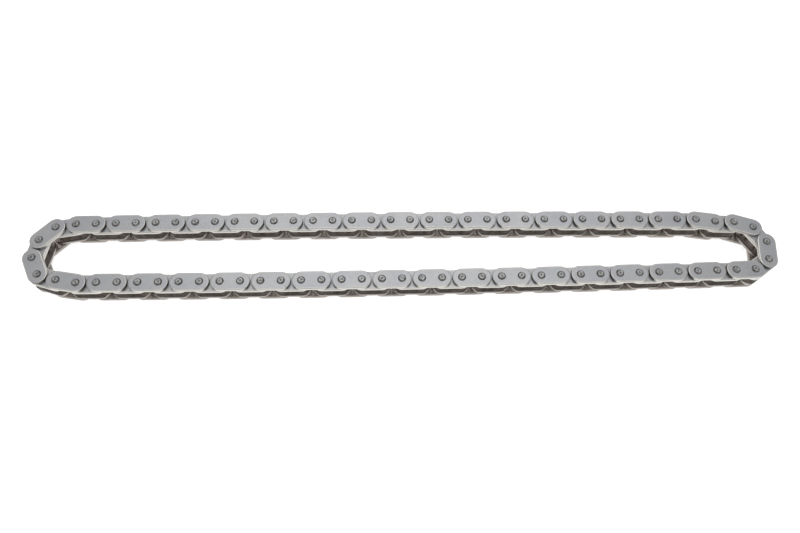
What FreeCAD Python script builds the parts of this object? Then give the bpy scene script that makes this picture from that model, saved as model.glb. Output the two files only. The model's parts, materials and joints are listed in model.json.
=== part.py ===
import FreeCAD, Part
import math
import os

# Endless single-row timing chain, lying on its side as a long loop.
# X runs along the loop, Y across it and Z up, along the axes of the pins.
# The origin is on the floor, under the middle of the loop. Millimetres and degrees.

# Driving dimensions of the links
pitch = 9.525
outer_links = 39
pin_radius = 1.79
pin_clearance = 0.04
bush_wall = 0.71
plate_end_gap = 0.45
outer_plate_thickness = 1.7
inner_plate_thickness = 1.7
inner_width = 4.8
side_clearance = 0.08
rivet_projection = 0.8
rivet_flank_width = 0.6
rivet_flank_height = 0.55
press_gap = 0.01

# How the loop lies: the turn at each joint, going round anticlockwise seen from above
right_bend_turns = (32, 49, 38, 41, 16, -6, 8)
left_bend_turns = (9, 36, 34, 36, 46, 9, 9)
near_run_turn_angle = 0.05
far_run_turn_angle = 0.04

# Joints at each end of a run where every link keeps its own hinge
free_joint_count = 2

# Radial clearance of the one pivot that is left open when the other hinges turn
open_pivot_clearance = 0.3

# Worked-out sizes
joints = 2 * outer_links
bore_radius = pin_radius + pin_clearance
bush_radius = bore_radius + bush_wall
plate_radius = (pitch - plate_end_gap) / 2
run_joints = joints - len(right_bend_turns) - len(left_bend_turns)
near_run_joints = run_joints // 2 + 1
far_run_joints = run_joints - near_run_joints

# Levels from the floor up to the top of the lower outer plate and beyond
lower_outer_level = rivet_projection
lower_inner_level = lower_outer_level + outer_plate_thickness + side_clearance
upper_inner_level = lower_inner_level + inner_plate_thickness + inner_width
upper_outer_level = upper_inner_level + inner_plate_thickness + side_clearance
pin_length = upper_outer_level + outer_plate_thickness + rivet_projection
bush_length = inner_width + 2 * inner_plate_thickness


def bend(turns, extra, lean):
    """The turns of one bend, with the small corrections that close the loop."""
    middle = (len(turns) - 1) / 2
    return [turn + extra + lean * (place - middle) for place, turn in enumerate(turns)]


def joint_turns(corrections):
    """The turn at every joint: near run, right bend, far run, left bend."""
    near_run = [near_run_turn_angle] * near_run_joints
    right_bend = bend(right_bend_turns, corrections.x, corrections.z)
    far_run = [far_run_turn_angle] * far_run_joints
    left_bend = bend(left_bend_turns, corrections.y, 0.0)
    return near_run + right_bend + far_run + left_bend


def walk(turns):
    """Step one pitch along each link; the last point lies on the first when the loop is closed."""
    heading = 0.0
    points = [FreeCAD.Vector(0, 0, 0)]
    headings = []
    for turn in turns:
        heading += math.radians(turn)
        headings.append(heading)
        step = FreeCAD.Vector(math.cos(heading), math.sin(heading), 0)
        points.append(points[-1] + step * pitch)
    return points, headings


def closing_error(corrections):
    """How far the loop is from closing: across and along in pitches, and in angle."""
    turns = joint_turns(corrections)
    points, headings = walk(turns)
    gap = points[-1] / pitch
    return FreeCAD.Vector(gap.x, gap.y, math.radians(sum(turns) - 360))


def closing_corrections():
    """Newton's method on the three small corrections to the two bends."""
    corrections = FreeCAD.Vector(0, 0, 0)
    nudge = 0.001
    for round_number in range(12):
        error = closing_error(corrections)
        columns = []
        for direction in (FreeCAD.Vector(1, 0, 0), FreeCAD.Vector(0, 1, 0), FreeCAD.Vector(0, 0, 1)):
            columns.append((closing_error(corrections + direction * nudge) - error) / nudge)
        a, b, c = columns
        slope = FreeCAD.Matrix(a.x, b.x, c.x, 0, a.y, b.y, c.y, 0, a.z, b.z, c.z, 0, 0, 0, 0, 1)
        corrections = corrections - slope.inverse().multVec(error)
    return corrections


def middle_of(points):
    """The middle of the box around some points."""
    across = [point.x for point in points]
    along = [point.y for point in points]
    return FreeCAD.Vector((min(across) + max(across)) / 2, (min(along) + max(along)) / 2, 0)


def lay_out_loop():
    """Joint centres and link headings, with the loop's length along X and its middle over the origin."""
    points, headings = walk(joint_turns(closing_corrections()))
    points.pop()
    left_bend = points[joints - len(left_bend_turns):]
    right_bend = points[near_run_joints:near_run_joints + len(right_bend_turns)]
    long_axis = middle_of(right_bend) - middle_of(left_bend)
    skew = math.atan2(long_axis.y, long_axis.x)
    turned = []
    for point in points:
        x = point.x * math.cos(skew) + point.y * math.sin(skew)
        y = point.y * math.cos(skew) - point.x * math.sin(skew)
        turned.append(FreeCAD.Vector(x, y, 0))
    middle = middle_of(turned)
    centres = [point - middle for point in turned]
    return centres, [heading - skew for heading in headings]


def plate_outline():
    """Straight-sided link plate with a round end about each of its two joints."""
    top_left = FreeCAD.Vector(0, plate_radius, 0)
    bottom_left = FreeCAD.Vector(0, -plate_radius, 0)
    top_right = FreeCAD.Vector(pitch, plate_radius, 0)
    bottom_right = FreeCAD.Vector(pitch, -plate_radius, 0)
    left_end = Part.Arc(top_left, FreeCAD.Vector(-plate_radius, 0, 0), bottom_left)
    right_end = Part.Arc(bottom_right, FreeCAD.Vector(pitch + plate_radius, 0, 0), top_right)
    lower_side = Part.LineSegment(bottom_left, bottom_right)
    upper_side = Part.LineSegment(top_right, top_left)
    sides = (left_end, lower_side, right_end, upper_side)
    return Part.Wire([side.toShape() for side in sides])


def plate(hole_radius, thickness, level):
    """Stamped link plate with its two holes, lying at a level, its first hole over the origin."""
    blank = Part.Face(plate_outline()).extrude(FreeCAD.Vector(0, 0, thickness))
    for place in (0, pitch):
        hole = Part.makeCylinder(hole_radius, thickness, FreeCAD.Vector(place, 0, 0))
        blank = blank.cut(hole)
    blank.translate(FreeCAD.Vector(0, 0, level))
    return blank


def pin(place):
    """Pin with both ends riveted over: a tapered head stands proud of each outer plate."""
    tip_radius = pin_radius - rivet_flank_width
    profile = [
        FreeCAD.Vector(0, 0, 0),
        FreeCAD.Vector(tip_radius, 0, 0),
        FreeCAD.Vector(pin_radius, 0, rivet_flank_height),
        FreeCAD.Vector(pin_radius, 0, pin_length - rivet_flank_height),
        FreeCAD.Vector(tip_radius, 0, pin_length),
        FreeCAD.Vector(0, 0, pin_length),
        FreeCAD.Vector(0, 0, 0),
    ]
    half_section = Part.Face(Part.makePolygon(profile))
    solid = half_section.revolve(FreeCAD.Vector(0, 0, 0), FreeCAD.Vector(0, 0, 1), 360)
    solid.translate(FreeCAD.Vector(place, 0, 0))
    return solid


def slack_pin(place):
    """Pin of the open pivot: turned down between the outer plates, where the bush hides it."""
    neck_level = lower_outer_level + outer_plate_thickness
    neck_length = upper_outer_level - neck_level
    neck_radius = bore_radius - open_pivot_clearance
    start = FreeCAD.Vector(place, 0, neck_level)
    around = Part.makeCylinder(bore_radius, neck_length, start)
    neck = Part.makeCylinder(neck_radius, neck_length, start)
    return pin(place).cut(around.cut(neck))


def bush(place):
    """Bush pressed into both inner plates, flush with their outer faces."""
    outside = Part.makeCylinder(bush_radius, bush_length)
    bore = Part.makeCylinder(bore_radius, bush_length)
    solid = outside.cut(bore)
    solid.translate(FreeCAD.Vector(place, 0, lower_inner_level))
    return solid


def outer_link_pieces():
    """Two plates and two riveted pins, by piece name."""
    hole = pin_radius + press_gap
    return {
        "lower_plate": plate(hole, outer_plate_thickness, lower_outer_level),
        "upper_plate": plate(hole, outer_plate_thickness, upper_outer_level),
        "first_pin": pin(0),
        "second_pin": pin(pitch),
    }


def inner_link_pieces():
    """Two plates and two bushes, by piece name."""
    hole = bush_radius + press_gap
    return {
        "lower_plate": plate(hole, inner_plate_thickness, lower_inner_level),
        "upper_plate": plate(hole, inner_plate_thickness, upper_inner_level),
        "first_bush": bush(0),
        "second_bush": bush(pitch),
    }


def set_in_loop(shape, centre, heading):
    """A copy of a link's piece, turned and moved from the origin to its place in the loop."""
    placed = shape.copy()
    placed.rotate(FreeCAD.Vector(0, 0, 0), FreeCAD.Vector(0, 0, 1), math.degrees(heading))
    placed.translate(centre)
    return placed


def paired_outer_links():
    """Outer links in the middle of both runs, each of which carries the inner link after it."""
    near_first = free_joint_count
    near_last = near_run_joints - free_joint_count
    far_start = near_run_joints + len(right_bend_turns)
    far_first = far_start + free_joint_count
    far_last = far_start + far_run_joints - free_joint_count
    closing = closing_outer_link()
    paired = []
    for number in range(outer_links):
        inside_joint = 2 * number + 1
        on_near_run = near_first <= inside_joint - 1 and inside_joint + 1 <= near_last
        on_far_run = far_first <= inside_joint - 1 and inside_joint + 1 <= far_last
        if (on_near_run or on_far_run) and number not in (closing - 1, closing):
            paired.append(number)
    return paired


def closing_outer_link():
    """The outer link riveted last, in the middle of the near run."""
    return near_run_joints // 4


def write_node(name, shapes):
    """Write one node: a single solid, or a group of solids that are carried together."""
    node = shapes[0] if len(shapes) == 1 else Part.makeCompound(shapes)
    node.exportStep("parts/" + name + ".step")


def build_chain():
    """Write every link of the loop; the closing link and the inner link before it go piece by piece."""
    centres, headings = lay_out_loop()
    outer_pieces = outer_link_pieces()
    inner_pieces = inner_link_pieces()
    paired = paired_outer_links()
    closing = closing_outer_link()
    for number in range(outer_links):
        outer_joint = 2 * number
        inner_joint = outer_joint + 1
        outer = {}
        for piece, shape in outer_pieces.items():
            if number == closing and piece == "first_pin":
                shape = slack_pin(0)
            outer[piece] = set_in_loop(shape, centres[outer_joint], headings[outer_joint])
        inner = {}
        for piece, shape in inner_pieces.items():
            inner[piece] = set_in_loop(shape, centres[inner_joint], headings[inner_joint])
        label = "%02d" % (number + 1)
        if number in paired:
            write_node("link_pair_" + label, list(outer.values()) + list(inner.values()))
            continue
        if number == closing:
            for piece, shape in outer.items():
                write_node("closing_link_" + piece, [shape])
        else:
            write_node("outer_link_" + label, list(outer.values()))
        if number == closing - 1:
            for piece, shape in inner.items():
                write_node("last_inner_link_" + piece, [shape])
        else:
            write_node("inner_link_" + label, list(inner.values()))


os.makedirs("parts", exist_ok=True)
build_chain()
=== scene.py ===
"""An endless timing chain lying on its side: link meshes, steel finishes, studio and camera."""

import json
import logging
import math
from dataclasses import dataclass, field
from enum import Enum

import bpy
import numpy as np
from mathutils import Matrix, Vector

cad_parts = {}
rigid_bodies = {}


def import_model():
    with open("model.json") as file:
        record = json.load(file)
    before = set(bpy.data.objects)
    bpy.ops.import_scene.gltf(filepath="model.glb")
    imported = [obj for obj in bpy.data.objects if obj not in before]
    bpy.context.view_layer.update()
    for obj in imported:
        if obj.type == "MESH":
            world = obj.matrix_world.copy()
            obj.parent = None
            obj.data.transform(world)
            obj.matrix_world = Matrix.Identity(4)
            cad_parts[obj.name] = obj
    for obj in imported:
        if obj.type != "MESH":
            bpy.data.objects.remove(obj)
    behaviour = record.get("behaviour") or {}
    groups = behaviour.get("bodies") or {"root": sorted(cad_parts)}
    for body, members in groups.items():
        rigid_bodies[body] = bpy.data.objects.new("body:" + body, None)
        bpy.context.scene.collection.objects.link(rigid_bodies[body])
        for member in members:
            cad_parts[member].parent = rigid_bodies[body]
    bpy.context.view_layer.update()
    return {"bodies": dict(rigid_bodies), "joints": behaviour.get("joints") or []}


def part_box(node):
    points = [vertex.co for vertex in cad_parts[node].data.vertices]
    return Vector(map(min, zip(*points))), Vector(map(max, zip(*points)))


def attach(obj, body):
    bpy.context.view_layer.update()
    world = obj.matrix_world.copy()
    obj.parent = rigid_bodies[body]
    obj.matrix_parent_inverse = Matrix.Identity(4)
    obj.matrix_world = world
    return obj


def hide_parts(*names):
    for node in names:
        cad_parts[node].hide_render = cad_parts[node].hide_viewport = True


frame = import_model()

MM = 0.001
# The point attribute of painted shade on plate edges: the contact shadow on the upper outer plates' round
# ends, and the shade along the lower inner plates' rim.
EDGE_SHADE_ATTRIBUTE = "painted_edge_shade"
NOISE_LOWEST = 0.3
NOISE_HIGHEST = 0.7
SHARP_EDGE_DEGREES = 40
Colour = tuple[float, float, float]
Socket = bpy.types.NodeSocket
Material = bpy.types.Material
log = logging.getLogger("timing_chain")


class Skin(Enum):
    """The finishes that a link piece wears, in the order of its material slots."""

    FACE = 0
    CUT_EDGE = 1
    PIN = 2
    BUSH = 3
    INNER_FACE = 4
    PIN_TOP = 5
    PAINTED_LIGHT_FACE = 6


class LinkKind(Enum):
    """The two kinds of link, which follow each other round the loop."""

    OUTER = 0
    INNER = 1


class EdgeShadePlace(Enum):
    """Where painted shade blackens the edge of a plate."""

    NOWHERE = 0
    ENDS = 1
    UPPER_RIM = 2


@dataclass(frozen=True)
class Grain:
    """A noise pattern: its units per millimetre along X, Y and Z, its finer layers and their strength."""

    stretch: tuple[float, float, float]
    layers: float = 3.0
    strength: float = 0.6


class NodeSheet:
    """A material's node tree, with short calls to add and join nodes."""

    def __init__(self, name: str) -> None:
        """Start a material with only its output node.

        Args:
            name: The material's name.
        """
        self.material = bpy.data.materials.new(name)
        self.material.use_nodes = True
        self.tree = self.material.node_tree
        self.tree.nodes.clear()
        self.output = self.tree.nodes.new("ShaderNodeOutputMaterial")

    def add(self, kind: str, **settings: object) -> bpy.types.Node:
        """Add a node and set its own settings.

        Args:
            kind: The node's type name.
            settings: Values for the node's properties.

        Returns:
            The new node.
        """
        node = self.tree.nodes.new(kind)
        for key, value in settings.items():
            setattr(node, key, value)
        return node

    def join(self, source: Socket, target: Socket) -> None:
        """Link an output socket to an input socket."""
        self.tree.links.new(source, target)

    def noise(self, grain: Grain) -> Socket:
        """Add a noise pattern on the object's own millimetres.

        Args:
            grain: The pattern.

        Returns:
            The socket with the noise value.
        """
        coordinates = self.add("ShaderNodeTexCoord")
        mapping = self.add("ShaderNodeMapping")
        mapping.inputs["Scale"].default_value = tuple(units / MM for units in grain.stretch)
        self.join(coordinates.outputs["Object"], mapping.inputs["Vector"])
        noise = self.add("ShaderNodeTexNoise")
        noise.inputs["Scale"].default_value = 1.0
        noise.inputs["Detail"].default_value = grain.layers
        noise.inputs["Roughness"].default_value = grain.strength
        self.join(mapping.outputs["Vector"], noise.inputs["Vector"])
        return noise.outputs["Fac"]

    def ramp(self, value: Socket, stops: tuple[float, float], colours: tuple[Colour, Colour]) -> Socket:
        """Turn a value into a colour between two others.

        Args:
            value: The socket to read.
            stops: Where the first colour ends and where the second one begins.
            colours: The two colours.

        Returns:
            The socket with the colour.
        """
        ramp = self.add("ShaderNodeValToRGB")
        for mark, stop, colour in zip(ramp.color_ramp.elements, stops, colours):
            mark.position = stop
            mark.color = (*colour, 1.0)
        self.join(value, ramp.inputs["Fac"])
        return ramp.outputs["Color"]

    def span(self, value: Socket, low: float, high: float) -> Socket:
        """Spread a noise value over a range.

        Args:
            value: The socket to read.
            low: What the noise's usual lowest value becomes.
            high: What the noise's usual highest value becomes.

        Returns:
            The socket with the new value.
        """
        spread = self.add("ShaderNodeMapRange")
        spread.inputs["From Min"].default_value = NOISE_LOWEST
        spread.inputs["From Max"].default_value = NOISE_HIGHEST
        spread.inputs["To Min"].default_value = low
        spread.inputs["To Max"].default_value = high
        self.join(value, spread.inputs["Value"])
        return spread.outputs["Result"]

    def shade(self, share: Socket, below: Socket, tint: Colour) -> Socket:
        """Multiply a colour by another one where a mask says so.

        Args:
            share: How much of the tint is used, from 0 to 1.
            below: The socket with the colour below.
            tint: The colour that multiplies it.

        Returns:
            The socket with the shaded colour.
        """
        mix = self.add("ShaderNodeMix", data_type="RGBA", blend_type="MULTIPLY")
        # Where the mix node keeps its sockets for colours, among those for other kinds of value
        factor, first_colour, second_colour, colour_result = 0, 6, 7, 2
        mix.inputs[second_colour].default_value = (*tint, 1.0)
        self.join(share, mix.inputs[factor])
        self.join(below, mix.inputs[first_colour])
        return mix.outputs[colour_result]

    def bump(self, height: Socket, depth: float) -> Socket:
        """Add fine relief.

        Args:
            height: The socket with the relief's height, from 0 to 1.
            depth: The relief's depth in millimetres.

        Returns:
            The socket with the bumped normal.
        """
        bump = self.add("ShaderNodeBump")
        bump.inputs["Strength"].default_value = 1.0
        bump.inputs["Distance"].default_value = depth * MM
        self.join(height, bump.inputs["Height"])
        return bump.outputs["Normal"]

    def steel(self, colour: Socket, roughness: Socket, normal: Socket, metal: float) -> Material:
        """Finish the sheet with a metal surface.

        Args:
            colour: The socket with the colour.
            roughness: The socket with the roughness.
            normal: The socket with the bumped normal.
            metal: How metallic the surface is; an oily coat takes a little away.

        Returns:
            The finished material.
        """
        surface = self.add("ShaderNodeBsdfPrincipled")
        surface.inputs["Metallic"].default_value = metal
        self.join(colour, surface.inputs["Base Color"])
        self.join(roughness, surface.inputs["Roughness"])
        self.join(normal, surface.inputs["Normal"])
        self.join(surface.outputs["BSDF"], self.output.inputs["Surface"])
        return self.material


@dataclass(frozen=True)
class TwoToneSteel:
    """Steel that drifts between a dark and a light tone, smoother where dark, over a finer relief."""

    name: str
    dark: Colour
    light: Colour
    metal: float
    smoothest: float
    roughest: float
    tone: Grain
    tone_stops: tuple[float, float]
    relief: Grain
    relief_depth: float

    def colour(self, sheet: NodeSheet, tone: Socket) -> Socket:
        """The colour at a tone."""
        return sheet.ramp(tone, self.tone_stops, (self.dark, self.light))

    def material(self) -> Material:
        """Build the finish.

        Returns:
            The finished material.
        """
        sheet = NodeSheet(self.name)
        tone = sheet.noise(self.tone)
        roughness = sheet.span(tone, self.smoothest, self.roughest)
        normal = sheet.bump(sheet.noise(self.relief), self.relief_depth)
        return sheet.steel(self.colour(sheet, tone), roughness, normal, self.metal)


@dataclass(frozen=True)
class TumbledPlateSteel:
    """Stamped plate face, tumbled to a satin grey, with faint clouds, fine grain and dark specks."""

    name: str = "tumbled_plate_steel"
    cool: Colour = (0.38, 0.388, 0.408)
    warm: Colour = (0.435, 0.438, 0.445)
    speck: Colour = (0.77, 0.755, 0.73)
    metal: float = 0.9
    smoothest: float = 0.34
    roughest: float = 0.44
    clouds: Grain = Grain((0.06, 0.06, 0.06), strength=0.55)
    cloud_stops: tuple[float, float] = (0.32, 0.68)
    specks: Grain = Grain((1.7, 1.7, 1.7), layers=2.0)
    least_speck: float = -3.2
    most_speck: float = 1.1
    scuffs: Grain = Grain((0.5, 1.3, 0.8), layers=4.0)
    grain: Grain = Grain((6.0, 6.0, 6.0))
    grain_depth: float = 0.003

    def material(self) -> Material:
        """Build the finish.

        Returns:
            The finished material.
        """
        sheet = NodeSheet(self.name)
        clouded = sheet.ramp(sheet.noise(self.clouds), self.cloud_stops, (self.cool, self.warm))
        specked = sheet.span(sheet.noise(self.specks), self.least_speck, self.most_speck)
        colour = sheet.shade(specked, clouded, self.speck)
        roughness = sheet.span(sheet.noise(self.scuffs), self.smoothest, self.roughest)
        normal = sheet.bump(sheet.noise(self.grain), self.grain_depth)
        return sheet.steel(colour, roughness, normal, self.metal)


@dataclass(frozen=True)
class ShearedEdgeSteel(TwoToneSteel):
    """Cut edge of a stamped plate, with fine upright shear marks, black where its points carry painted
    shade.
    """

    name: str = "sheared_edge_steel"
    dark: Colour = (0.55, 0.535, 0.505)
    light: Colour = (0.68, 0.665, 0.63)
    metal: float = 0.9
    smoothest: float = 0.3
    roughest: float = 0.45
    tone: Grain = Grain((5.0, 5.0, 0.35))
    tone_stops: tuple[float, float] = (0.3, 0.7)
    relief: Grain = Grain((5.0, 5.0, 0.35))
    relief_depth: float = 0.008
    # The painted shade: its colour, the patches that vary it, and its faintest and deepest strength
    shade_colour: Colour = (0.23, 0.23, 0.23)
    patches: Grain = Grain((0.5, 0.5, 0.5))
    faintest_shade: float = 0.8
    deepest_shade: float = 1.3

    def colour(self, sheet: NodeSheet, tone: Socket) -> Socket:
        """The colour at a tone, darkened where the plate's points carry painted shade.

        Args:
            sheet: The node tree to add to.
            tone: The socket with the tone.

        Returns:
            The socket with the colour.
        """
        edge_shade = sheet.add("ShaderNodeAttribute", attribute_type="GEOMETRY", attribute_name=EDGE_SHADE_ATTRIBUTE)
        patchy = sheet.add("ShaderNodeMath", operation="MULTIPLY", use_clamp=True)
        # How strong the painted shade is, patch by patch
        thickness = sheet.span(sheet.noise(self.patches), self.faintest_shade, self.deepest_shade)
        sheet.join(edge_shade.outputs["Fac"], patchy.inputs[0])
        sheet.join(thickness, patchy.inputs[1])
        return sheet.shade(patchy.outputs["Value"], super().colour(sheet, tone), self.shade_colour)


@dataclass(frozen=True)
class HardPinAndShadeSteel(TwoToneSteel):
    """Hardened pin, mottled and darker than the plates, partly as hardened steel and partly as painted
    shade: its dark tone on the flank stands for the shadow round each head.
    """

    name: str = "hard_pin_and_shade_steel"
    dark: Colour = (0.095, 0.091, 0.088)
    light: Colour = (0.34, 0.335, 0.33)
    metal: float = 0.9
    smoothest: float = 0.28
    roughest: float = 0.42
    tone: Grain = Grain((0.8, 0.8, 0.8))
    tone_stops: tuple[float, float] = (0.36, 0.64)
    relief: Grain = Grain((7.0, 7.0, 2.0), layers=2.0, strength=0.5)
    relief_depth: float = 0.01


@dataclass(frozen=True)
class SpunHeadSteel(TwoToneSteel):
    """Ring that the riveting tool leaves on a pin's end, brighter than the flank."""

    name: str = "spun_head_steel"
    dark: Colour = (0.14, 0.14, 0.14)
    light: Colour = (0.47, 0.47, 0.465)
    metal: float = 0.9
    smoothest: float = 0.26
    roughest: float = 0.4
    tone: Grain = Grain((0.9, 0.9, 0.9), strength=0.65)
    tone_stops: tuple[float, float] = (0.36, 0.64)
    relief: Grain = Grain((8.0, 8.0, 8.0), layers=2.0, strength=0.5)
    relief_depth: float = 0.006


@dataclass(frozen=True)
class OiledBushSteel(TwoToneSteel):
    """Case-hardened bush with fine turning marks, brown-grey with an oily coat."""

    name: str = "oiled_bush_steel"
    dark: Colour = (0.34, 0.302, 0.278)
    light: Colour = (0.5, 0.458, 0.425)
    metal: float = 0.85
    smoothest: float = 0.25
    roughest: float = 0.4
    tone: Grain = Grain((0.35, 0.35, 0.9), strength=0.55)
    tone_stops: tuple[float, float] = (0.3, 0.7)
    relief: Grain = Grain((0.6, 0.6, 9.0), layers=2.0, strength=0.5)
    relief_depth: float = 0.008


@dataclass(frozen=True)
class OilAndShadeInnerFaceSteel(TwoToneSteel):
    """Inner side of the plates, brown-grey where an oily coat and bush wear tint the satin steel; it also
    dresses the lower plates' walls and the lower outer plates' rims, darker there than the cut edge as
    painted shade.
    """

    name: str = "oil_and_shade_inner_face_steel"
    dark: Colour = (0.34, 0.305, 0.28)
    light: Colour = (0.5, 0.46, 0.43)
    metal: float = 0.85
    smoothest: float = 0.32
    roughest: float = 0.45
    tone: Grain = Grain((0.3, 0.3, 0.6), strength=0.55)
    tone_stops: tuple[float, float] = (0.3, 0.7)
    relief: Grain = Grain((5.0, 5.0, 5.0), layers=2.0, strength=0.5)
    relief_depth: float = 0.01


@dataclass(frozen=True)
class PaintedLightFaceSteel(TwoToneSteel):
    """Inner side of the outer plates, painted bright and warm: painted light where the lower plate shows
    between the inner links.
    """

    name: str = "painted_light_face_steel"
    dark: Colour = (0.46, 0.43, 0.4)
    light: Colour = (0.74, 0.705, 0.665)
    metal: float = 0.85
    smoothest: float = 0.22
    roughest: float = 0.36
    tone: Grain = Grain((0.8, 0.8, 0.8))
    tone_stops: tuple[float, float] = (0.35, 0.65)
    relief: Grain = Grain((3.0, 0.6, 1.0))
    relief_depth: float = 0.012


@dataclass(frozen=True)
class PlateSkins:
    """The skins of one plate: its two faces, its wall, the rim above it, and where its edge carries
    painted shade.
    """

    lower: Skin
    upper: Skin
    wall: Skin
    rim: Skin
    shade_place: EdgeShadePlace


@dataclass
class Shell:
    """A closed surface: points in metres with their share of painted shade, four-sided faces and their
    skins.
    """

    points: np.ndarray = field(default_factory=lambda: np.zeros((0, 3)))
    edge_shades: np.ndarray = field(default_factory=lambda: np.zeros(0))
    faces: np.ndarray = field(default_factory=lambda: np.zeros((0, 4), int))
    skins: np.ndarray = field(default_factory=lambda: np.zeros(0, int))

    def add_grid(self, grid: np.ndarray, skin: np.ndarray | int, edge_shade: np.ndarray | float = 0.0) -> None:
        """Add a grid of points as four-sided faces.

        A grid point (r, k) is joined to (r + 1, k) and (r, k + 1). Its face looks along the
        cross product of the step in k and the step in r.

        Args:
            grid: Points in an array of rows by columns by 3.
            skin: One skin for all faces, or one for each row of faces.
            edge_shade: How much painted shade the points carry, from 0 to 1: one value, or one for each
                point.
        """
        rows, columns = grid.shape[:2]
        index = np.arange(rows * columns).reshape(rows, columns) + len(self.points)
        corners = (index[:-1, :-1], index[:-1, 1:], index[1:, 1:], index[1:, :-1])
        quads = np.stack(corners, -1).reshape(-1, 4)
        per_row = np.broadcast_to(np.asarray(skin).reshape(-1, 1), (rows - 1, columns - 1))
        self.points = np.concatenate([self.points, grid.reshape(-1, 3)])
        self.edge_shades = np.concatenate([self.edge_shades, np.broadcast_to(edge_shade, (rows, columns)).reshape(-1)])
        self.faces = np.concatenate([self.faces, quads])
        self.skins = np.concatenate([self.skins, per_row.reshape(-1)])

    def add(self, other: "Shell") -> None:
        """Add another shell's points and faces to this one.

        Args:
            other: The shell to add, which stays as it is.
        """
        self.faces = np.concatenate([self.faces, other.faces + len(self.points)])
        self.points = np.concatenate([self.points, other.points])
        self.edge_shades = np.concatenate([self.edge_shades, other.edge_shades])
        self.skins = np.concatenate([self.skins, other.skins])

    def set_down(self, start: np.ndarray, heading: float) -> "Shell":
        """Turn and move the shell from the origin to its place in the loop.

        Each point's X and Y turn about the origin by the heading and then move by the start.

        Args:
            start: Where the link's first joint lies, in metres.
            heading: The link's direction, in radians from +X.

        Returns:
            The shell in its place.
        """
        turn = np.array([[math.cos(heading), math.sin(heading), 0.0],
                         [-math.sin(heading), math.cos(heading), 0.0],
                         [0.0, 0.0, 1.0]])
        shift = np.array([start[0], start[1], 0.0])
        return Shell(self.points @ turn + shift, self.edge_shades, self.faces, self.skins)

    def welded(self) -> "Shell":
        """Join points that lie on each other, and drop the faces and corners that vanish.

        Points are the same where they agree to a tenth of a micrometre.

        Returns:
            The shell with shared points.
        """
        tenth_of_a_micrometre = 1e-7
        fewest_corners = 3
        keys = np.round(self.points / tenth_of_a_micrometre).astype(np.int64)
        firsts, index = np.unique(keys, axis=0, return_index=True, return_inverse=True)[1:]
        faces = index.reshape(-1)[self.faces]
        corners = np.sort(faces, axis=1)
        different = 1 + (np.diff(corners, axis=1) > 0).sum(axis=1)
        keep = different >= fewest_corners
        return Shell(self.points[firsts], self.edge_shades[firsts], faces[keep], self.skins[keep])

    def build(self, name: str, finishes: dict[Skin, Material]) -> bpy.types.Object:
        """Make the shell a Blender mesh.

        Args:
            name: The piece's name.
            finishes: The material of each skin.

        Returns:
            The piece, with its place in its mesh.
        """
        faces = [list(dict.fromkeys(face)) for face in self.faces.tolist()]
        mesh = bpy.data.meshes.new(name)
        mesh.from_pydata(self.points.tolist(), [], faces)
        worn, slots = np.unique(self.skins, return_inverse=True)
        for skin in worn.tolist():
            mesh.materials.append(finishes[Skin(skin)])
        mesh.polygons.foreach_set("material_index", slots.reshape(-1).astype(np.int32))
        mesh.polygons.foreach_set("use_smooth", np.ones(len(faces), bool))
        # Each point's share of painted shade, which the cut edge's material reads
        edge_shade = mesh.attributes.new(EDGE_SHADE_ATTRIBUTE, "FLOAT", "POINT")
        edge_shade.data.foreach_set("value", self.edge_shades.astype(np.float32))
        mesh.set_sharp_from_angle(angle=math.radians(SHARP_EDGE_DEGREES))
        mesh.validate()
        mesh.update()
        piece = bpy.data.objects.new(name, mesh)
        bpy.context.scene.collection.objects.link(piece)
        return piece


def turned(profile: np.ndarray, skins: np.ndarray, sides: int) -> Shell:
    """Turn a profile about the Z axis.

    The surface is (r cos t, r sin t, z), where (r, z) runs along the profile and t round the axis.
    The profile runs upwards on the outside of the solid.

    Args:
        profile: Radius and height of each ring, in metres.
        skins: The skin of each band between two rings.
        sides: How many sides the surface has.

    Returns:
        The turned surface.
    """
    angle = np.linspace(0, 2 * np.pi, sides + 1)
    radius, height = profile[:, :1], profile[:, 1:]
    grid = np.stack([radius * np.cos(angle), radius * np.sin(angle), height + 0 * angle], -1)
    shell = Shell()
    shell.add_grid(grid, skins)
    return shell


# The shells of one link, by piece name
LinkShells = dict[str, Shell]


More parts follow.
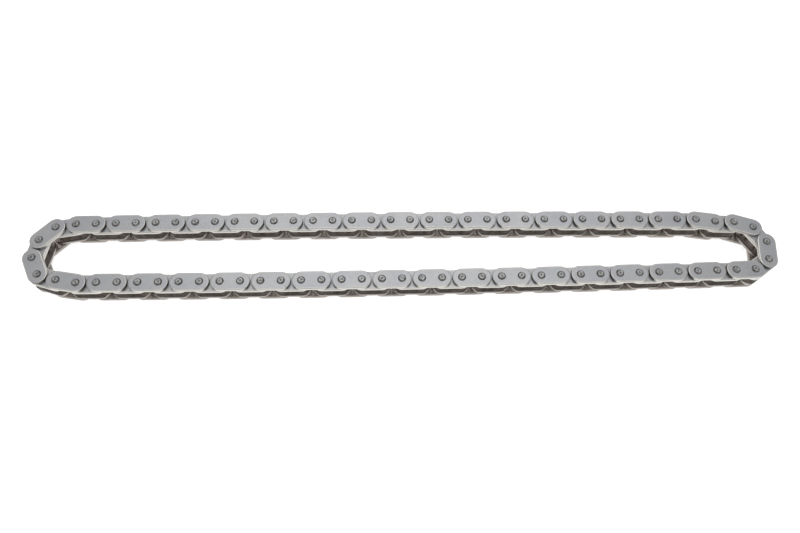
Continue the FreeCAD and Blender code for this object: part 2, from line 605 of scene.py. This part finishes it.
@dataclass
class LinkPlate:
    """Stamped plate with straight sides, a round end about each of its two joints, and two holes.

    A flat band as wide as the support goes round each face, so that the faces stay flat up to
    their edges. The first and last shoulder steps of a round end wear the skins of the sides.
    """

    pitch: float
    end_radius: float
    hole_radius: float
    thickness: float
    roll_width: float = 0.55 * MM
    roll_depth: float = 0.3 * MM
    burr: float = 0.1 * MM
    support: float = 0.1 * MM
    roll_steps: int = 3
    end_steps: int = 22
    side_steps: int = 4
    middle_steps: int = 4
    shoulder_steps: int = 4
    shoulder_start: float = 0.36
    shoulder_end: float = 0.72

    def half_outline(self, inset: float) -> np.ndarray:
        """Points round the first joint's half of the plate, anticlockwise, closed along its middle line.

        The round end is (h cos t, h sin t), with h the half height less the inset. Forward of the
        joint, the ray at angle t meets a straight side at x = R cot t, where R is the half height
        with no inset, and then the middle line at y = (pitch / 2) tan t, scaled by h / R.

        Args:
            inset: How far the outline is pulled in from the plate's edge, in metres.

        Returns:
            Points in an array of count by 2; the first and the last are the same.
        """
        half_height = self.end_radius - inset
        corner = math.atan2(self.end_radius, self.pitch / 2)
        stretches = (
            (0.0, corner, self.middle_steps),
            (corner, np.pi / 2, self.side_steps),
            (np.pi / 2, 3 * np.pi / 2, self.end_steps),
            (3 * np.pi / 2, 2 * np.pi - corner, self.side_steps),
            (2 * np.pi - corner, 2 * np.pi, self.middle_steps),
        )
        parts = [np.linspace(low, high, steps + 1)[:-1] for low, high, steps in stretches]
        angle = np.concatenate(parts + [np.array([2 * np.pi])])
        tiny = 1e-9
        sine = np.where(np.abs(np.sin(angle)) < tiny, tiny, np.sin(angle))
        on_middle = (np.cos(angle) > 0) & (np.abs(np.tan(angle)) <= math.tan(corner) + tiny)
        on_end = np.cos(angle) < tiny
        side_x = self.end_radius / np.abs(sine) * np.cos(angle)
        side_y = np.sign(sine) * half_height
        middle_y = self.pitch / 2 * np.tan(angle) * half_height / self.end_radius
        x = np.select([on_end, on_middle], [half_height * np.cos(angle), self.pitch / 2], side_x)
        y = np.select([on_end, on_middle], [half_height * np.sin(angle), middle_y], side_y)
        return np.stack([x, y], -1)

    def profile(self) -> tuple[np.ndarray, np.ndarray]:
        """The plate's edge seen in section, from the lower face round to the upper one.

        The lower corner is broken a little. The upper one has the larger round of the die, a quarter
        of an ellipse: at angle t it is inset by w (1 - cos t) and lies d (1 - sin t) below the upper
        face, with w its width and d its depth.

        Returns:
            The inset and the height of each ring, in metres.
        """
        turn = np.linspace(0, np.pi / 2, self.roll_steps + 1)
        roll_inset = self.roll_width * (1 - np.cos(turn))
        roll_height = self.thickness - self.roll_depth * (1 - np.sin(turn))
        low_inset = [self.burr + self.support, self.burr, 0.0]
        low_height = [0.0, 0.0, self.burr]
        inset = np.array([*low_inset, *roll_inset, self.roll_width + self.support])
        height = np.array([*low_height, *roll_height, self.thickness])
        return inset, height

    def edge_shade(self, rings: np.ndarray, shade_place: EdgeShadePlace) -> np.ndarray:
        """How much painted shade the points of the edge carry: contact shadow on the round ends, shade
        along a rim between the plates.

        A point's way out from the joint is -x / R, with R the end's radius. Its share s of the way
        from the shoulder's start to its end, kept within 0 and 1, is smoothed as 3 s^2 - 2 s^3.
        Shaded ends are bare along their rim, and a shaded rim is bare at the ends.

        Args:
            rings: The rings of the edge, in an array of rings by points by 3.
            shade_place: Where the edge carries painted shade.

        Returns:
            The painted shade at each point, from 0 to 1.
        """
        way_out = -rings[..., 0] / self.end_radius
        share = (way_out - self.shoulder_start) / (self.shoulder_end - self.shoulder_start)
        share = np.clip(share, 0.0, 1.0)
        towards_end = share * share * (3 - 2 * share)
        if shade_place is EdgeShadePlace.ENDS:
            rim_start = self.thickness - self.roll_depth
            just_above = self.burr / 2
            return towards_end * (rings[..., 2] <= rim_start + just_above)
        if shade_place is EdgeShadePlace.UPPER_RIM:
            return 1 - towards_end
        return np.zeros_like(towards_end)

    def half_shell(self, skins: PlateSkins) -> Shell:
        """The first joint's half of the plate: two flat faces, the hole's wall and the outer edge.

        Args:
            skins: The plate's skins.

        Returns:
            The half, open along the middle line, with its joint on the Z axis.
        """
        inset, height = self.profile()
        rings = []
        for pull, level in zip(inset, height):
            outline = self.half_outline(pull)
            rings.append(np.column_stack([outline, np.full(len(outline), level)]))
        ray = outline / np.linalg.norm(outline, axis=1, keepdims=True)
        low_hole = np.column_stack([ray * self.hole_radius, np.zeros(len(ray))])
        high_hole = np.column_stack([ray * self.hole_radius, np.full(len(ray), self.thickness)])
        shell = Shell()
        shell.add_grid(np.stack([low_hole, rings[0]]), skins.lower.value)
        shell.add_grid(np.stack([rings[-1], high_hole]), skins.upper.value)
        shell.add_grid(np.stack([high_hole, low_hole]), Skin.CUT_EDGE.value)
        # How much painted shade each point of the edge carries
        edge_shades = self.edge_shade(np.stack(rings), skins.shade_place)
        low_wear = [skins.lower, skins.wall, skins.wall]
        side_wear = low_wear + [skins.rim] * self.roll_steps + [skins.upper]
        end_wear = low_wear + [Skin.CUT_EDGE] * (self.roll_steps - 1) + [skins.upper] * 2
        side_steps = self.side_steps + self.shoulder_steps
        end_steps = self.end_steps - 2 * self.shoulder_steps
        start = self.middle_steps
        for steps, wear in ((side_steps, side_wear), (end_steps, end_wear), (side_steps, side_wear)):
            edge = np.stack([ring[start:start + steps + 1] for ring in rings])
            edge_shade = edge_shades[:, start:start + steps + 1]
            shell.add_grid(edge, np.array([skin.value for skin in wear]), edge_shade)
            start += steps
        return shell

    def shell(self, level: float, skins: PlateSkins) -> Shell:
        """The whole plate at a level, its first joint on the Z axis and its second along +X.

        Args:
            level: Height of the plate's lower face, in metres.
            skins: The plate's skins.

        Returns:
            The closed plate.
        """
        first = self.half_shell(skins)
        turned_round = first.points * np.array([-1.0, -1.0, 1.0]) + np.array([self.pitch, 0.0, 0.0])
        whole = Shell(first.points, first.edge_shades, first.faces, first.skins)
        whole.add(Shell(turned_round, first.edge_shades, first.faces, first.skins))
        whole.points = whole.points + np.array([0.0, 0.0, level])
        return whole.welded()


@dataclass
class RivetedPin:
    """Pin whose ends are spun over: a flank that spreads on the plate, a flat ring and a dimple.

    The ring that the tool leaves bright starts in the dimple and ends on the flank. It is counted
    in bands between two rings of the profile, from both tips of the pin.
    """

    radius: float
    length: float
    neck_radius: float
    neck_level: float
    neck_length: float
    head_height: float
    head_radius: float = 1.93 * MM
    tip_radius: float = 1.19 * MM
    dimple_depth: float = 0.22 * MM
    # Where the bright ring ends on the flank, the pin's dark tone begins: painted shade for the shadow
    # round the head.
    spun_start: int = 2
    spun_bands: int = 4
    sides: int = 24

    def head(self) -> tuple[np.ndarray, np.ndarray]:
        """The head in section, from the axis out to the shank.

        The dimple's points are shares of the tip's radius and of the dimple's depth. The flank's
        points are shares of the way from the tip's radius out to the head's, and of the head's
        height. Just above the plate the flank steps in to the shank.

        Returns:
            The radius of each ring, and how far it lies inside the pin's tip.
        """
        dimple_radius = np.array([0.0, 0.2, 0.36, 0.5, 0.6]) * self.tip_radius
        dimple_drop = np.array([1.0, 0.85, 0.45, 0.1, 0.0]) * self.dimple_depth
        spread = np.array([0.0, 0.22, 0.66, 1.0]) * (self.head_radius - self.tip_radius)
        flank_radius = np.append(self.tip_radius + spread, self.radius)
        flank_drop = np.array([0.0, 0.07, 0.48, 0.94, 0.99]) * self.head_height
        return np.concatenate([dimple_radius, flank_radius]), np.concatenate([dimple_drop, flank_drop])

    def shell(self) -> Shell:
        """The whole pin with its neck.

        Returns:
            The pin, standing on its lower end at the origin.
        """
        radius, drop = self.head()
        neck_top = self.neck_level + self.neck_length
        middle_radius = [self.radius, self.neck_radius, self.neck_radius, self.radius]
        middle_height = [self.neck_level, self.neck_level, neck_top, neck_top]
        rings = np.column_stack([
            np.concatenate([radius, middle_radius, radius[::-1]]),
            np.concatenate([drop, middle_height, self.length - drop[::-1]]),
        ])
        spun = slice(self.spun_start, self.spun_start + self.spun_bands)
        skins = np.full(len(rings) - 1, Skin.PIN.value)
        skins[spun] = Skin.PIN_TOP.value
        skins[::-1][spun] = Skin.PIN_TOP.value
        return turned(rings, skins, self.sides).welded()


@dataclass
class PressedBush:
    """Plain bush with its edges broken, pressed into both inner plates."""

    outer_radius: float
    bore_radius: float
    length: float
    level: float
    chamfer: float = 0.12 * MM
    sides: int = 24

    def shell(self) -> Shell:
        """The whole bush, with its bore.

        Returns:
            The bush about the Z axis, at its level.
        """
        profile = np.array([
            [self.bore_radius, 0.0],
            [self.outer_radius - self.chamfer, 0.0],
            [self.outer_radius, self.chamfer],
            [self.outer_radius, self.length - self.chamfer],
            [self.outer_radius - self.chamfer, self.length],
            [self.bore_radius, self.length],
            [self.bore_radius, 0.0],
        ])
        profile[:, 1] += self.level
        skins = np.full(len(profile) - 1, Skin.BUSH.value)
        return turned(profile, skins, self.sides).welded()


def span_of(node: str) -> tuple[float, float]:
    """The lowest and highest level of a node of the frame, in metres."""
    low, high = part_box(node)
    return low.z, high.z


def middle_of(node: str) -> np.ndarray:
    """The middle of a node's box, seen from above, in metres."""
    low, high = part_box(node)
    return np.array([(low.x + high.x) / 2, (low.y + high.y) / 2])


def number_of(body: str) -> int:
    """The number that ends a body's name."""
    return int(body.split("_")[-1])


@dataclass
class LinkPieces:
    """The shells of both kinds of link, sized from the links that the frame holds piece by piece."""

    closing: str = "closing_link"
    last_inner: str = "last_inner_link"
    pin_radius: float = 1.79 * MM
    open_pin_radius: float = 1.53 * MM
    bush_bore_radius: float = 1.83 * MM
    end_radius: float = 4.5375 * MM
    press_gap: float = 0.01 * MM

    def pitch(self) -> float:
        """The distance between a link's two joints, in metres."""
        first, second = (middle_of(f"{self.closing}_{pin}_pin") for pin in ("first", "second"))
        return float(np.linalg.norm(second - first))

    def plate(self, node: str, hole_radius: float, skins: PlateSkins) -> Shell:
        """One plate of a link, at the origin.

        Args:
            node: The node of the frame that gives its level and thickness.
            hole_radius: The radius of its holes, in metres.
            skins: The plate's skins.

        Returns:
            The plate.
        """
        low, high = span_of(node)
        blank = LinkPlate(self.pitch(), self.end_radius, hole_radius, high - low)
        return blank.shell(low, skins)

    def twice(self, shell: Shell) -> tuple[Shell, Shell]:
        """A turned piece at a link's first joint and again at its second."""
        shift = np.array([self.pitch(), 0.0, 0.0])
        return shell, Shell(shell.points + shift, shell.edge_shades, shell.faces, shell.skins)

    def pin(self, neck_radius: float) -> Shell:
        """A riveted pin, at the first joint.

        Args:
            neck_radius: Its radius between the outer plates, in metres: the pin's own on most pins.

        Returns:
            The pin.
        """
        low, high = span_of(f"{self.closing}_second_pin")
        neck_low = span_of(f"{self.closing}_lower_plate")[1]
        neck_high, plate_top = span_of(f"{self.closing}_upper_plate")
        pin = RivetedPin(
            radius=self.pin_radius,
            length=high - low,
            neck_radius=neck_radius,
            neck_level=neck_low,
            neck_length=neck_high - neck_low,
            head_height=high - plate_top,
        )
        return pin.shell()

    def outer(self, opened: bool) -> LinkShells:
        """The four pieces of an outer link.

        Args:
            opened: Whether its first pin is the slimmer one of the open pivot.

        Returns:
            Shells by piece name.
        """
        hole = self.pin_radius + self.press_gap
        first, second = self.twice(self.pin(self.pin_radius))
        if opened:
            first = self.pin(self.open_pin_radius)
        # The lower plate's upper face is painted bright, as painted light where it shows between the
        # inner links; its wall and rim wear the darker inner skin as painted shade.
        lower = PlateSkins(
            lower=Skin.FACE,
            upper=Skin.PAINTED_LIGHT_FACE,
            wall=Skin.INNER_FACE,
            rim=Skin.INNER_FACE,
            shade_place=EdgeShadePlace.NOWHERE,
        )
        # The upper plate's round ends carry painted shade: the contact shadow where they stand over the
        # inner links.
        upper = PlateSkins(
            lower=Skin.PAINTED_LIGHT_FACE,
            upper=Skin.FACE,
            wall=Skin.CUT_EDGE,
            rim=Skin.CUT_EDGE,
            shade_place=EdgeShadePlace.ENDS,
        )
        return {
            "lower_plate": self.plate(f"{self.closing}_lower_plate", hole, lower),
            "upper_plate": self.plate(f"{self.closing}_upper_plate", hole, upper),
            "first_pin": first,
            "second_pin": second,
        }

    def inner(self) -> LinkShells:
        """The four pieces of an inner link.

        Returns:
            Shells by piece name.
        """
        low, high = span_of(f"{self.last_inner}_first_bush")
        box_low, box_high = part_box(f"{self.last_inner}_first_bush")
        outer_radius = (box_high.x - box_low.x) / 2
        hole = outer_radius + self.press_gap
        bush = PressedBush(outer_radius, self.bush_bore_radius, high - low, low)
        first, second = self.twice(bush.shell())
        # The lower plate's wall wears the darker inner skin as painted shade, and its rim carries painted
        # shade along its sides, between the plates.
        lower = PlateSkins(
            lower=Skin.FACE,
            upper=Skin.INNER_FACE,
            wall=Skin.INNER_FACE,
            rim=Skin.CUT_EDGE,
            shade_place=EdgeShadePlace.UPPER_RIM,
        )
        upper = PlateSkins(
            lower=Skin.INNER_FACE,
            upper=Skin.FACE,
            wall=Skin.CUT_EDGE,
            rim=Skin.CUT_EDGE,
            shade_place=EdgeShadePlace.NOWHERE,
        )
        return {
            "lower_plate": self.plate(f"{self.last_inner}_lower_plate", hole, lower),
            "upper_plate": self.plate(f"{self.last_inner}_upper_plate", hole, upper),
            "first_bush": first,
            "second_bush": second,
        }


@dataclass
class ChainLoop:
    """The endless loop: every link's pieces, set between the joints that the frame gives."""

    pieces: LinkPieces = field(default_factory=LinkPieces)
    finishes: dict[Skin, Material] = field(default_factory=dict)
    made: int = 0

    def dress(self) -> None:
        """Make the seven finishes."""
        self.finishes = {
            Skin.FACE: TumbledPlateSteel().material(),
            Skin.CUT_EDGE: ShearedEdgeSteel().material(),
            Skin.PIN: HardPinAndShadeSteel().material(),
            Skin.BUSH: OiledBushSteel().material(),
            Skin.INNER_FACE: OilAndShadeInnerFaceSteel().material(),
            Skin.PIN_TOP: SpunHeadSteel().material(),
            Skin.PAINTED_LIGHT_FACE: PaintedLightFaceSteel().material(),
        }

    def place_in_loop(self, body: str) -> tuple[int, int]:
        """Where a body comes in the loop.

        The numbered bodies say it in their names. The closing link follows the last inner link,
        and both stand where their numbers are missing.

        Args:
            body: The body's name.

        Returns:
            The number of its outer link, and the kind of link that it starts with, as a number.
        """
        outer_names = [name for name in frame["bodies"] if name.startswith(("outer", "link_pair"))]
        closing = self.missing({number_of(name) for name in outer_names})
        if body == self.pieces.closing:
            return closing, LinkKind.OUTER.value
        if body == self.pieces.last_inner:
            return closing - 1, LinkKind.INNER.value
        kind = LinkKind.INNER if body.startswith("inner") else LinkKind.OUTER
        return number_of(body), kind.value

    def missing(self, numbers: set[int]) -> int:
        """Count up from 1 to the first number that isn't in a set.

        Args:
            numbers: The numbers to pass over.

        Returns:
            The missing number.
        """
        number = 1
        while number in numbers:
            number += 1
        return number

    def joint_between(self, before: str, after: str) -> np.ndarray:
        """Where two neighbouring bodies are joined, seen from above.

        Args:
            before: The body that comes first in the loop.
            after: The body that follows it.

        Returns:
            X and Y of their joint in metres; the open pivot's is the closing link's first pin.
        """
        for joint in frame["joints"]:
            if {joint["parent"], joint["child"]} == {before, after}:
                return np.array(joint["pos_m"][:2])
        return middle_of(f"{self.pieces.closing}_first_pin")

    def put(self, shell: Shell, name: str, node: str, body: str) -> None:
        """Build one piece and tie it to the frame.

        Args:
            shell: The piece's surface, in its place.
            name: The piece's name.
            node: The node of the frame that it stands for.
            body: The body that it moves with.
        """
        piece = shell.build(name, self.finishes)
        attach(piece, body)
        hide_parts(node)
        self.made += 1
        log.info("%s rides on %s, %d faces", name, body, len(shell.faces))

    def put_link(self, link: LinkShells, start: np.ndarray, heading: float, body: str) -> None:
        """Build a link whose pieces are nodes of their own.

        Args:
            link: The link's pieces.
            start: Where its first joint lies, in metres.
            heading: Its direction, in radians from +X.
            body: The body that it is.
        """
        for part, shell in link.items():
            node = f"{body}_{part}"
            self.put(shell.set_down(start, heading), f"{node}_finished", node, body)

    def put_group(self, links: list[tuple[LinkShells, np.ndarray]], heading: float, body: str) -> None:
        """Build a body that is one node: a link, or an outer link with the inner link after it.

        Args:
            links: Each link's pieces, and where its first joint lies, in metres.
            heading: The direction of them all, in radians from +X.
            body: The body that they are.
        """
        whole = Shell()
        for link, start in links:
            for shell in link.values():
                whole.add(shell.set_down(start, heading))
        self.put(whole, f"{body}_finished", body, body)

    def build(self) -> None:
        """Build every body's pieces in the order of the loop."""
        self.dress()
        outer, inner = self.pieces.outer(False), self.pieces.inner()
        ring = sorted(frame["bodies"], key=self.place_in_loop)
        for place, body in enumerate(ring):
            start = self.joint_between(ring[place - 1], body)
            end = self.joint_between(body, ring[(place + 1) % len(ring)])
            along = end - start
            heading = math.atan2(along[1], along[0])
            if body == self.pieces.closing:
                self.put_link(self.pieces.outer(True), start, heading, body)
            elif body == self.pieces.last_inner:
                self.put_link(inner, start, heading, body)
            elif body.startswith("link_pair"):
                self.put_group([(outer, start), (inner, start + along / 2)], heading, body)
            elif body.startswith("outer"):
                self.put_group([(outer, start)], heading, body)
            else:
                self.put_group([(inner, start)], heading, body)


@dataclass
class Studio:
    """White floor and surroundings, one soft lamp overhead behind the chain, and the camera."""

    floor_half_width: float = 1.6
    floor_colour: Colour = (0.86, 0.86, 0.86)
    floor_glow: float = 0.71
    horizon_level: float = 0.16
    overhead_level: float = 0.72
    dim_height: float = -0.1
    bright_height: float = 0.75
    lamp_place: tuple[float, float, float] = (0.02, 0.35, 0.9)
    lamp_width: float = 0.85
    lamp_power: float = 1.8
    camera_place: tuple[float, float, float] = (-0.01607, -0.14722, 0.31679)
    camera_target: tuple[float, float, float] = (-0.00313, -0.00393, 0.0)
    camera_roll: float = 3.868
    lens: float = 31.5
    sensor_width: float = 36.0
    nearest_seen: float = 0.01
    farthest_seen: float = 10.0

    def seen_directly(self, sheet: NodeSheet) -> Socket:
        """Tell the rays of the camera, of gloss and of clear materials from those of the light.

        Args:
            sheet: The node tree to add to.

        Returns:
            A socket that is 1 for those rays and 0 for the others.
        """
        path = sheet.add("ShaderNodeLightPath")
        first = sheet.add("ShaderNodeMath", operation="MAXIMUM")
        second = sheet.add("ShaderNodeMath", operation="MAXIMUM")
        sheet.join(path.outputs["Is Camera Ray"], first.inputs[0])
        sheet.join(path.outputs["Is Glossy Ray"], first.inputs[1])
        sheet.join(first.outputs["Value"], second.inputs[0])
        sheet.join(path.outputs["Is Transmission Ray"], second.inputs[1])
        return second.outputs["Value"]

    def floor(self) -> None:
        """Lay the white floor, which glows for the camera and in gloss and keeps the chain's shadow."""
        half = self.floor_half_width
        mesh = bpy.data.meshes.new("studio_floor")
        corners = [(-half, -half, 0), (half, -half, 0), (half, half, 0), (-half, half, 0)]
        mesh.from_pydata(corners, [], [(0, 1, 2, 3)])
        plane = bpy.data.objects.new("studio_floor", mesh)
        bpy.context.scene.collection.objects.link(plane)
        sheet = NodeSheet("white_floor")
        paper = sheet.add("ShaderNodeBsdfDiffuse")
        paper.inputs["Color"].default_value = (*self.floor_colour, 1.0)
        glow = sheet.add("ShaderNodeEmission")
        level = sheet.add("ShaderNodeMath", operation="MULTIPLY")
        level.inputs[1].default_value = self.floor_glow
        sheet.join(self.seen_directly(sheet), level.inputs[0])
        sheet.join(level.outputs["Value"], glow.inputs["Strength"])
        both = sheet.add("ShaderNodeAddShader")
        sheet.join(paper.outputs["BSDF"], both.inputs[0])
        sheet.join(glow.outputs["Emission"], both.inputs[1])
        sheet.join(both.outputs["Shader"], sheet.output.inputs["Surface"])
        mesh.materials.append(sheet.material)

    def surroundings(self) -> None:
        """Surround the chain with white light, dim near the horizon and brighter overhead.

        The camera itself sees it plain white.
        """
        world = bpy.data.worlds.new("studio_world")
        bpy.context.scene.world = world
        world.use_nodes = True
        tree = world.node_tree
        tree.nodes.clear()
        output = tree.nodes.new("ShaderNodeOutputWorld")
        background = tree.nodes.new("ShaderNodeBackground")
        background.inputs["Color"].default_value = (1.0, 1.0, 1.0, 1.0)
        direction = tree.nodes.new("ShaderNodeTexCoord")
        parts = tree.nodes.new("ShaderNodeSeparateXYZ")
        level = tree.nodes.new("ShaderNodeMapRange")
        level.interpolation_type = "SMOOTHSTEP"
        level.inputs["From Min"].default_value = self.dim_height
        level.inputs["From Max"].default_value = self.bright_height
        level.inputs["To Min"].default_value = self.horizon_level
        level.inputs["To Max"].default_value = self.overhead_level
        path = tree.nodes.new("ShaderNodeLightPath")
        seen = tree.nodes.new("ShaderNodeMath")
        seen.operation = "MAXIMUM"
        tree.links.new(direction.outputs["Generated"], parts.inputs["Vector"])
        tree.links.new(parts.outputs["Z"], level.inputs["Value"])
        tree.links.new(path.outputs["Is Camera Ray"], seen.inputs[0])
        tree.links.new(level.outputs["Result"], seen.inputs[1])
        tree.links.new(seen.outputs["Value"], background.inputs["Strength"])
        tree.links.new(background.outputs["Background"], output.inputs["Surface"])

    def lamp(self) -> None:
        """Hang the soft lamp and turn it to the chain."""
        light = bpy.data.lights.new("overhead_softbox", "AREA")
        light.shape = "SQUARE"
        light.size = self.lamp_width
        light.energy = self.lamp_power
        lamp = bpy.data.objects.new("overhead_softbox", light)
        lamp.location = self.lamp_place
        lamp.rotation_euler = (-Vector(self.lamp_place)).to_track_quat("-Z", "Y").to_euler()
        bpy.context.scene.collection.objects.link(lamp)

    def camera(self) -> None:
        """Set up the camera at the photograph's angle."""
        lens = bpy.data.cameras.new("photograph_view")
        lens.sensor_width = self.sensor_width
        lens.lens = self.lens
        lens.clip_start = self.nearest_seen
        lens.clip_end = self.farthest_seen
        camera = bpy.data.objects.new("photograph_view", lens)
        look = Vector(self.camera_target) - Vector(self.camera_place)
        level = look.to_track_quat("-Z", "Y").to_matrix()
        roll = Matrix.Rotation(math.radians(self.camera_roll), 3, "Z")
        camera.matrix_world = Matrix.Translation(self.camera_place) @ (level @ roll).to_4x4()
        bpy.context.scene.collection.objects.link(camera)
        bpy.context.scene.camera = camera

    def build(self) -> None:
        """Set up the floor, surroundings, lamp, camera and plain view transform."""
        self.floor()
        self.surroundings()
        self.lamp()
        self.camera()
        bpy.context.scene.view_settings.view_transform = "Standard"
        log.info("studio: floor %.1f m wide, lamp of %.1f W", 2 * self.floor_half_width, self.lamp_power)


def main() -> None:
    """Build the studio and the chain."""
    logging.basicConfig(level=logging.INFO, format="%(name)s: %(message)s")
    Studio().build()
    chain = ChainLoop()
    chain.build()
    log.info("%d pieces in all", chain.made)


if __name__ == "__main__":
    main()
